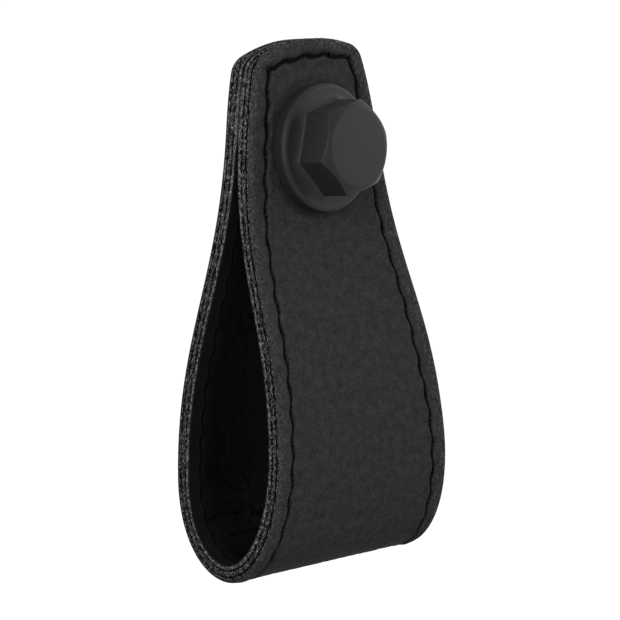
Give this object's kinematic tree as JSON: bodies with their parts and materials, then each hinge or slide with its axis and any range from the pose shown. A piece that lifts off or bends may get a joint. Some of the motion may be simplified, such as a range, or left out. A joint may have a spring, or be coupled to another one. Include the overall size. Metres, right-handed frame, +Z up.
{
  "type": "leather loop knob",
  "caption": "Folded leather loop pull for a cabinet or drawer, stitched round its edge and clamped at the top by a black metal head with a round flange and a hexagonal front.",
  "frame": {"origin": "on the shank's axis, in the plane of the door or drawer front that the back leg lies against", "axes": "+X across the strap, +Y into the door, +Z up; the head faces -Y and the loop hangs towards -Z"},
  "size_m": [0.0296, 0.0191, 0.0614],
  "materials": {
    "grain_leather": "black pebbled grain, satin",
    "split_leather": "black dyed split, raw and fibrous where it is cut",
    "lining_leather": "black smooth lining, matte",
    "thread": "black bonded thread, matte",
    "head_metal": "fine matte black powder coat"
  },
  "bodies": {
    "root": {"outer_leather": "grain_leather", "core_leather": "split_leather", "lining_leather": "lining_leather", "needle_thread": "thread", "bobbin_thread": "thread", "knob_head": "head_metal"}
  },
  "joints": []
}
